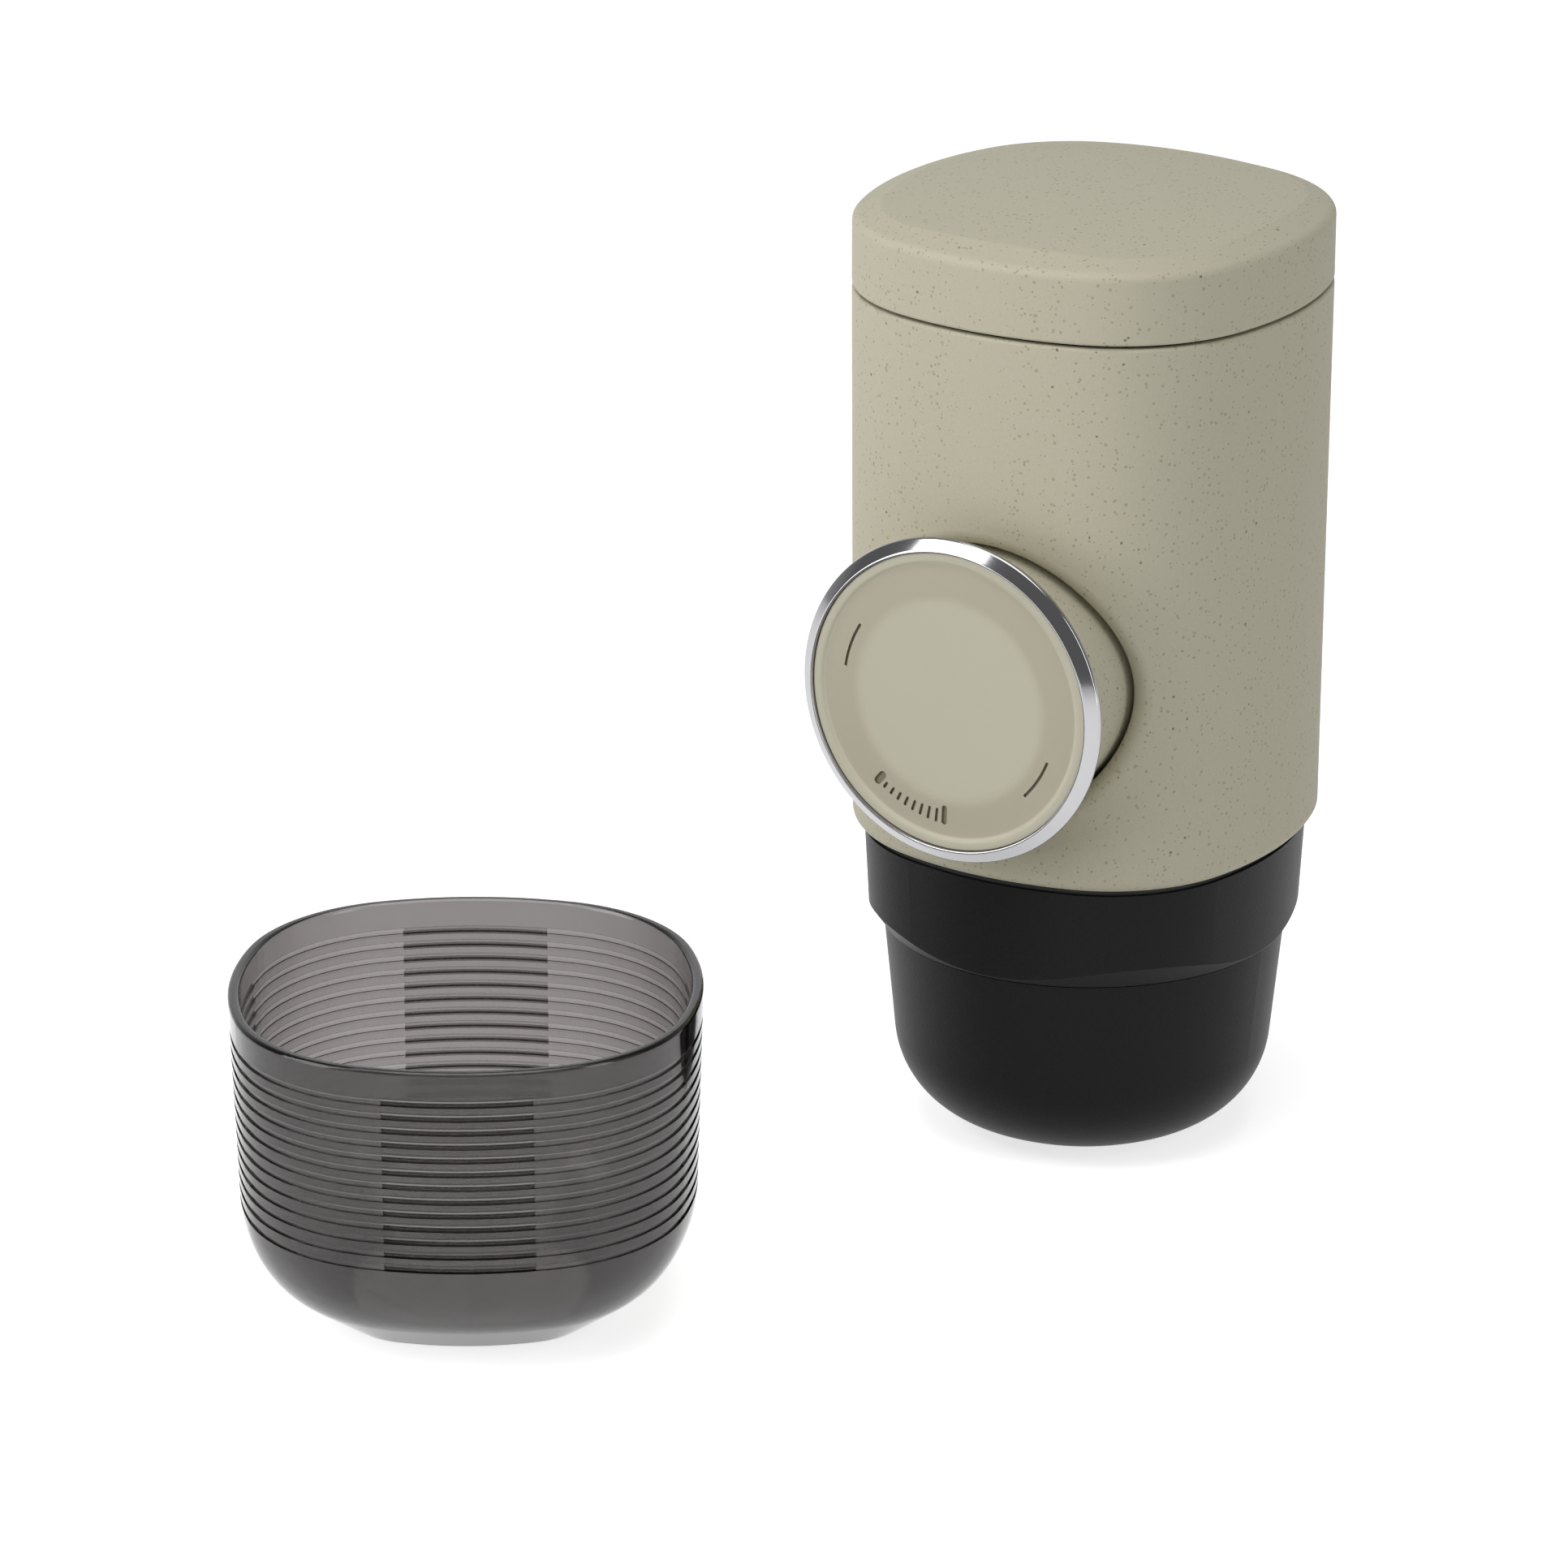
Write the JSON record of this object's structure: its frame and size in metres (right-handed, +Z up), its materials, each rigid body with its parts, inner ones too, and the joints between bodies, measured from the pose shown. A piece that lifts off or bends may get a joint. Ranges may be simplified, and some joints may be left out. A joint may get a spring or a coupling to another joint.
{
  "type": "handheld manual espresso maker",
  "caption": "Hand-pumped espresso maker in a rounded-square shell with a side piston knob, lidded water tank, screw-on domed outlet head and a ribbed smoky cup.",
  "frame": {"origin": "centre of the flat foot under the outlet head", "axes": "+Z up along the maker's upright axis, -Y out of the knob, +X to the right seen from the knob"},
  "size_m": [0.1056, 0.1656, 0.1385],
  "materials": {
    "shell_beige": "matte moulded plastic with fine dark speckles",
    "black_soft": "fine-grained soft-touch black",
    "grey_inner": "moulded technical plastic",
    "clear_tank": "clear moulded plastic",
    "rubber_seal": "silicone rubber",
    "steel": "stainless steel",
    "bright_ring": "satin bright ring with polished edges",
    "smoky_clear": "smoky translucent plastic with fine level ribs"
  },
  "bodies": {
    "maker_body": {"body_shell": "shell_beige", "tank_liner": "clear_tank", "tank_neck": "black_soft", "tank_seal": "rubber_seal", "tank_strainer": "steel", "pump_housing": "grey_inner", "housing_screws": "steel", "inlet_valve_seat": "grey_inner", "outlet_valve_plug": "grey_inner", "inlet_valve_spring": "steel", "outlet_valve_spring": "steel", "pump_cylinder": "grey_inner", "cylinder_gasket": "rubber_seal", "pump_screws": "steel", "rod_bush": "grey_inner", "group_head": "grey_inner", "body_gasket": "rubber_seal", "collar": "black_soft", "collar_screws": "steel", "piercing_plate": "steel", "group_gasket": "rubber_seal"},
    "lid_seal": {"lid_gasket": "rubber_seal"},
    "lid": {"lid_shell": "shell_beige", "lid_plug": "black_soft", "lid_screws": "steel", "vent_valve": "rubber_seal"},
    "piston": {"piston_rod": "steel", "piston_head": "grey_inner", "piston_seal": "rubber_seal", "knob_screw": "steel", "piston_spring": "steel"},
    "knob": {"knob_skirt": "shell_beige", "knob_ring": "bright_ring", "knob_face": "shell_beige"},
    "inlet_ball": {"inlet_valve_ball": "steel"},
    "outlet_ball": {"outlet_valve_ball": "steel"},
    "head_seal": {"head_gasket": "rubber_seal"},
    "outlet": {"outlet_head": "black_soft", "outlet_nozzle": "steel", "extraction_plate": "steel"},
    "holder": {"capsule_holder": "black_soft"},
    "cup": {"cup": "smoky_clear"}
  },
  "joints": [
    {"name": "lid_lift", "type": "slide", "parent": "maker_body", "child": "lid_seal", "axis": [0, 0, 1], "range_m": [0, 0.05]},
    {"name": "lid_turn", "type": "hinge", "parent": "lid_seal", "child": "lid", "pos_m": [0, 0, 0.125], "axis": [0, 0, 1], "range_deg": [0, 45]},
    {"name": "piston_stroke", "type": "slide", "parent": "maker_body", "child": "piston", "axis": [0, -1, 0], "range_m": [0, 0.02], "deforming": ["piston_spring"]},
    {"name": "knob_turn", "type": "hinge", "parent": "piston", "child": "knob", "pos_m": [0, -0.0355, 0.0748], "axis": [0, -1, 0], "range_deg": [0, 38]},
    {"name": "inlet_valve", "type": "slide", "parent": "maker_body", "child": "inlet_ball", "axis": [0, 0, -1], "range_m": [0, 0.001], "stiffness_N_per_m": 100, "springref_m": -0.002, "deforming": ["inlet_valve_spring"]},
    {"name": "outlet_valve", "type": "slide", "parent": "maker_body", "child": "outlet_ball", "axis": [0, 0, -1], "range_m": [0, 0.001], "stiffness_N_per_m": 100, "springref_m": -0.002, "deforming": ["outlet_valve_spring"]},
    {"name": "head_drop", "type": "slide", "parent": "maker_body", "child": "head_seal", "axis": [0, 0, -1], "range_m": [0, 0.06]},
    {"name": "head_turn", "type": "hinge", "parent": "head_seal", "child": "outlet", "pos_m": [0, 0, 0.038], "axis": [0, 0, -1], "range_deg": [0, 60]},
    {"name": "holder_drop", "type": "slide", "parent": "maker_body", "child": "holder", "axis": [0, 0, -1], "range_m": [0, 0.03]},
    {"name": "cup_lift", "type": "slide", "parent": "maker_body", "child": "cup", "axis": [0, 0, 1], "range_m": [0, 0.06]}
  ],
  "couplings": [
    {"joint": "holder_drop", "follows": "head_drop", "ratio": 0.5}
  ]
}
